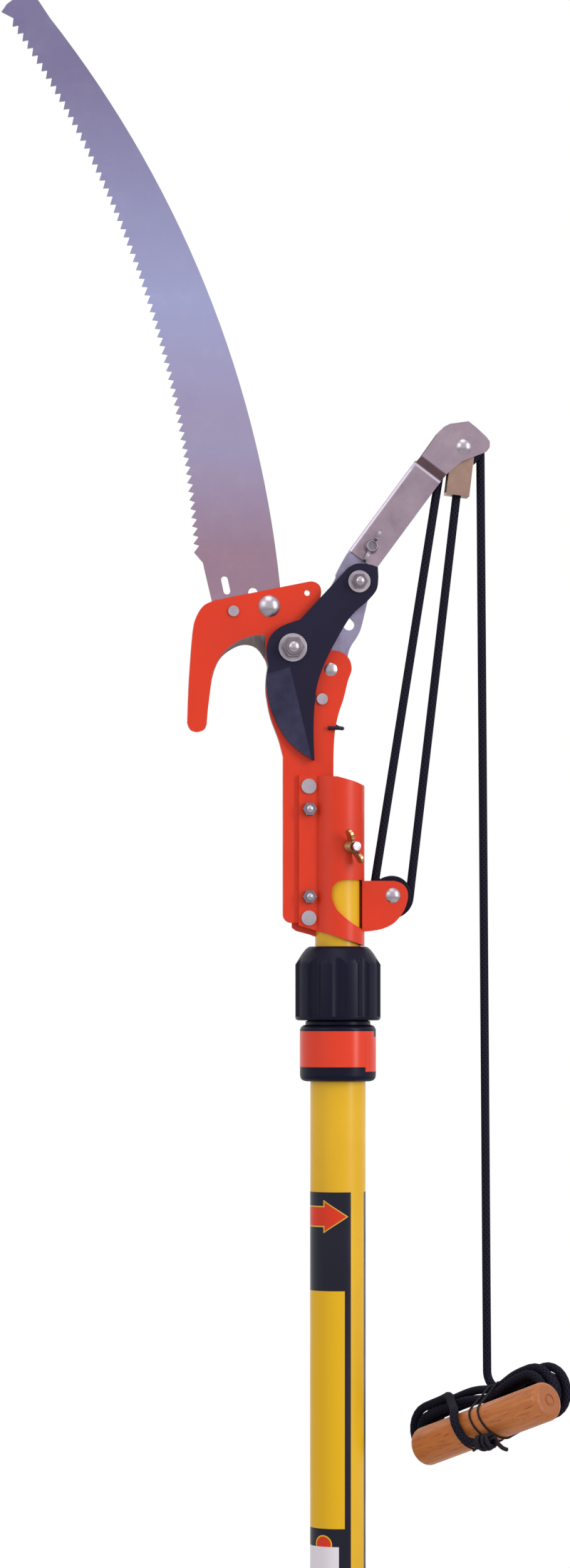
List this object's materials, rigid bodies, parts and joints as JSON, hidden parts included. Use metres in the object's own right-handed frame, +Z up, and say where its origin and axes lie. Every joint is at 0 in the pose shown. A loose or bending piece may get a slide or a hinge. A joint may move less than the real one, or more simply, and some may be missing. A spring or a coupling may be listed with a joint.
{
  "type": "telescoping tree pruner pole",
  "caption": "Telescoping tree pruner pole: hook and swinging blade worked by a rope tackle and spring, with a curved pruning saw bolted beside them and a wooden pull handle.",
  "frame": {"origin": "centre of the lower pole's butt end, on the pole's axis", "axes": "+Z up along the pole towards the saw, +X to the pulley side, +Y away from the blade's face"},
  "size_m": [0.3245, 0.1194, 2.1232],
  "materials": {
    "yellow": "yellow fibreglass tube with a satin coat",
    "black_plastic": "moulded black plastic",
    "orange": "orange-red powder coat",
    "zinc": "zinc plate",
    "brass": "yellow passivated plate",
    "black_steel": "black coating, low sheen",
    "warm_steel": "bare strap, slightly warm",
    "bright_steel": "ground saw steel",
    "rope": "braided black rope",
    "wood": "clear-coated dowel"
  },
  "bodies": {
    "lower_pole": {"outer_pole": "yellow", "butt_plug": "black_plastic", "collar_body": "black_plastic", "collet": "black_plastic"},
    "twist_nut": {"collar_nut": "black_plastic"},
    "head": {"inner_pole": "yellow", "inner_bushing": "black_plastic", "head_plate": "orange", "sleeve": "orange", "sleeve_rivets": "zinc", "sleeve_bolts": "zinc", "sleeve_nuts": "zinc", "clamp_bolt": "zinc", "lower_axle": "zinc", "pivot_bolt": "zinc", "pivot_washer": "zinc", "pivot_nut": "zinc", "lever_rivet": "zinc", "stop_rivet": "zinc", "return_spring": "black_steel", "saw_blade": "bright_steel", "saw_bolt": "zinc", "saw_washer": "zinc", "saw_pin": "zinc", "rope_lower_wrap": "rope"},
    "blade": {"cutting_blade": "black_steel", "drive_bolt": "zinc", "drive_washer": "zinc", "drive_nut": "zinc"},
    "lever": {"lever_plate": "zinc", "channel_arm": "zinc", "arm_bolt": "zinc", "upper_axle": "zinc"},
    "low_wheel": {"lower_sheave": "black_plastic"},
    "high_wheel": {"upper_sheave": "black_plastic"},
    "becket_strap": {"becket": "warm_steel", "becket_knot": "rope", "rope_becket_run": "rope", "rope_lead_run": "rope"},
    "pull_line": {"rope_upper_wrap": "rope", "rope_fall": "rope", "rope_hank": "rope", "rope_tail": "rope", "rope_knot": "rope", "pull_handle": "wood", "hank_ties": "rope"},
    "pole_clamp_nut": {"clamp_wing_nut": "brass"},
    "arm_clamp_nut": {"arm_wing_nut": "zinc"},
    "saw_clamp_nut": {"saw_wing_nut": "zinc"}
  },
  "joints": [
    {"name": "pole_extend", "type": "slide", "parent": "lower_pole", "child": "head", "axis": [0, 0, 1], "range_m": [0, 1.25]},
    {"name": "nut_twist", "type": "hinge", "parent": "lower_pole", "child": "twist_nut", "pos_m": [0, 0, 1.555], "axis": [0, 0, 1], "range_deg": [0, 120]},
    {"name": "lever_pull", "type": "hinge", "parent": "head", "child": "lever", "pos_m": [-0.0049, 0, 1.7377], "axis": [0, 1, 0], "range_deg": [0, 84], "stiffness_Nm_per_rad": 1, "springref_deg": -57.3, "deforming": ["return_spring", "rope_becket_run", "rope_lead_run"]},
    {"name": "blade_cut", "type": "hinge", "parent": "head", "child": "blade", "pos_m": [-0.0275, 0, 1.7498], "axis": [0, 1, 0], "range_deg": [0, 65.6]},
    {"name": "becket_swing", "type": "hinge", "parent": "lever", "child": "becket_strap", "pos_m": [0.0726, 0, 1.8671], "axis": [0, 1, 0], "range_deg": [-36.8, 0]},
    {"name": "line_hang", "type": "hinge", "parent": "lever", "child": "pull_line", "pos_m": [0.0726, 0, 1.8671], "axis": [0, 1, 0], "range_deg": [-84, 0]},
    {"name": "low_wheel_spin", "type": "hinge", "parent": "head", "child": "low_wheel", "pos_m": [0.0311, 0, 1.6073], "axis": [0, 1, 0], "continuous": true},
    {"name": "high_wheel_spin", "type": "hinge", "parent": "lever", "child": "high_wheel", "pos_m": [0.0726, 0, 1.8671], "axis": [0, 1, 0], "continuous": true},
    {"name": "pole_clamp_spin", "type": "hinge", "parent": "head", "child": "pole_clamp_nut", "pos_m": [0, 0, 1.6352], "axis": [0.342, -0.9397, 0], "continuous": true},
    {"name": "arm_clamp_spin", "type": "hinge", "parent": "lever", "child": "arm_clamp_nut", "pos_m": [0.01887, 0, 1.809], "axis": [0, -1, 0], "continuous": true},
    {"name": "saw_clamp_spin", "type": "hinge", "parent": "head", "child": "saw_clamp_nut", "pos_m": [-0.0405, 0, 1.7739], "axis": [0, 1, 0], "continuous": true}
  ],
  "couplings": [
    {"joint": "blade_cut", "follows": "lever_pull", "ratio": 0.78},
    {"joint": "becket_swing", "follows": "lever_pull", "ratio": -0.437},
    {"joint": "line_hang", "follows": "lever_pull", "ratio": -1}
  ]
}
